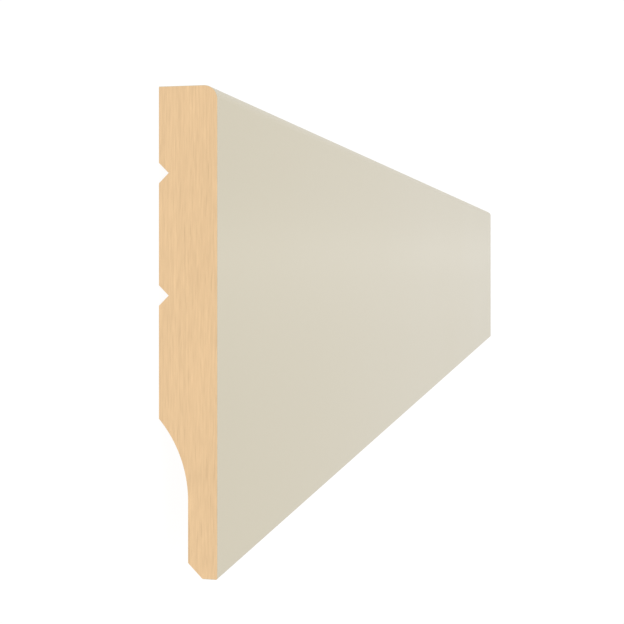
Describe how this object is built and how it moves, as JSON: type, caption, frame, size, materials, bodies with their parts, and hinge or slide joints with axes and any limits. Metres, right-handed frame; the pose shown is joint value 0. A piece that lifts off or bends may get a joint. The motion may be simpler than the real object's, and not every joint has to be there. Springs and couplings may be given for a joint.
{
  "type": "skirting board length",
  "caption": "Straight length of skirting board: flat painted face, rounded top edge, V-grooved back, and a coved relief behind a chamfered foot.",
  "frame": {"origin": "centre of the underside of the bounding box: halfway along the length and halfway across the height, on the plane of the back", "axes": "+X along the length, +Y across the face from the foot's edge to the rounded top edge, +Z out of the painted face; the board lies on its back"},
  "size_m": [0.875, 0.12, 0.015],
  "materials": {
    "painted_board": "satin"
  },
  "bodies": {
    "root": {"skirting_board": "painted_board"}
  },
  "joints": []
}
